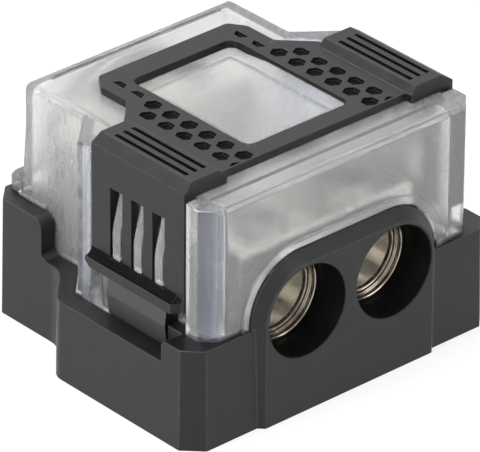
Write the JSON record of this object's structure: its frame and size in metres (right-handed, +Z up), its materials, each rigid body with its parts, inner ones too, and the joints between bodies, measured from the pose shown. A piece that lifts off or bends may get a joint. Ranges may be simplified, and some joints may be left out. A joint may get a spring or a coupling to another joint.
{
  "type": "power distribution block",
  "caption": "Covered terminal block that splits power from large cables at the front to smaller cables at the back, clamped by set screws",
  "frame": {"origin": "under the middle of the body, on the surface it stands on", "axes": "+X to the right seen from the two large ports, +Y back towards the small ports, +Z up"},
  "size_m": [0.0628, 0.057, 0.0428],
  "materials": {
    "tray_plastic": "black moulded plastic with a fine satin texture",
    "frame_plastic": "black moulded plastic with a fine satin texture",
    "clear_plastic": "clear plastic, frosted inside",
    "plated_metal": "bright nickel plate over turned metal",
    "screw_steel": "zinc-plated steel"
  },
  "bodies": {
    "base": {"base_tray": "tray_plastic", "terminal_block": "plated_metal", "block_fixing_screw_front": "screw_steel", "block_fixing_screw_rear": "screw_steel"},
    "cover": {"clear_cover": "clear_plastic", "top_frame": "frame_plastic"},
    "input_screw_left_front": {"input_screw_left_front": "screw_steel"},
    "input_screw_left_rear": {"input_screw_left_rear": "screw_steel"},
    "input_screw_right_front": {"input_screw_right_front": "screw_steel"},
    "input_screw_right_rear": {"input_screw_right_rear": "screw_steel"},
    "output_screw_lower_left": {"output_screw_lower_left": "screw_steel"},
    "output_screw_lower_right": {"output_screw_lower_right": "screw_steel"},
    "output_screw_upper_left": {"output_screw_upper_left": "screw_steel"},
    "output_screw_upper_right": {"output_screw_upper_right": "screw_steel"}
  },
  "joints": [
    {"name": "cover_lift", "type": "slide", "parent": "base", "child": "cover", "axis": [0, 0, 1], "range_m": [0, 0.03]},
    {"name": "input_screw_left_front_travel", "type": "slide", "parent": "base", "child": "input_screw_left_front", "axis": [0, 0, 1], "range_m": [-0.006, 0.001]},
    {"name": "input_screw_left_rear_travel", "type": "slide", "parent": "base", "child": "input_screw_left_rear", "axis": [0, 0, 1], "range_m": [-0.006, 0.001]},
    {"name": "input_screw_right_front_travel", "type": "slide", "parent": "base", "child": "input_screw_right_front", "axis": [0, 0, 1], "range_m": [-0.006, 0.001]},
    {"name": "input_screw_right_rear_travel", "type": "slide", "parent": "base", "child": "input_screw_right_rear", "axis": [0, 0, 1], "range_m": [-0.006, 0.001]},
    {"name": "output_screw_lower_left_travel", "type": "slide", "parent": "base", "child": "output_screw_lower_left", "axis": [0, 0, 1], "range_m": [-0.004, 0.001]},
    {"name": "output_screw_lower_right_travel", "type": "slide", "parent": "base", "child": "output_screw_lower_right", "axis": [0, 0, 1], "range_m": [-0.004, 0.001]},
    {"name": "output_screw_upper_left_travel", "type": "slide", "parent": "base", "child": "output_screw_upper_left", "axis": [0, 0, 1], "range_m": [-0.004, 0.001]},
    {"name": "output_screw_upper_right_travel", "type": "slide", "parent": "base", "child": "output_screw_upper_right", "axis": [0, 0, 1], "range_m": [-0.004, 0.001]}
  ]
}
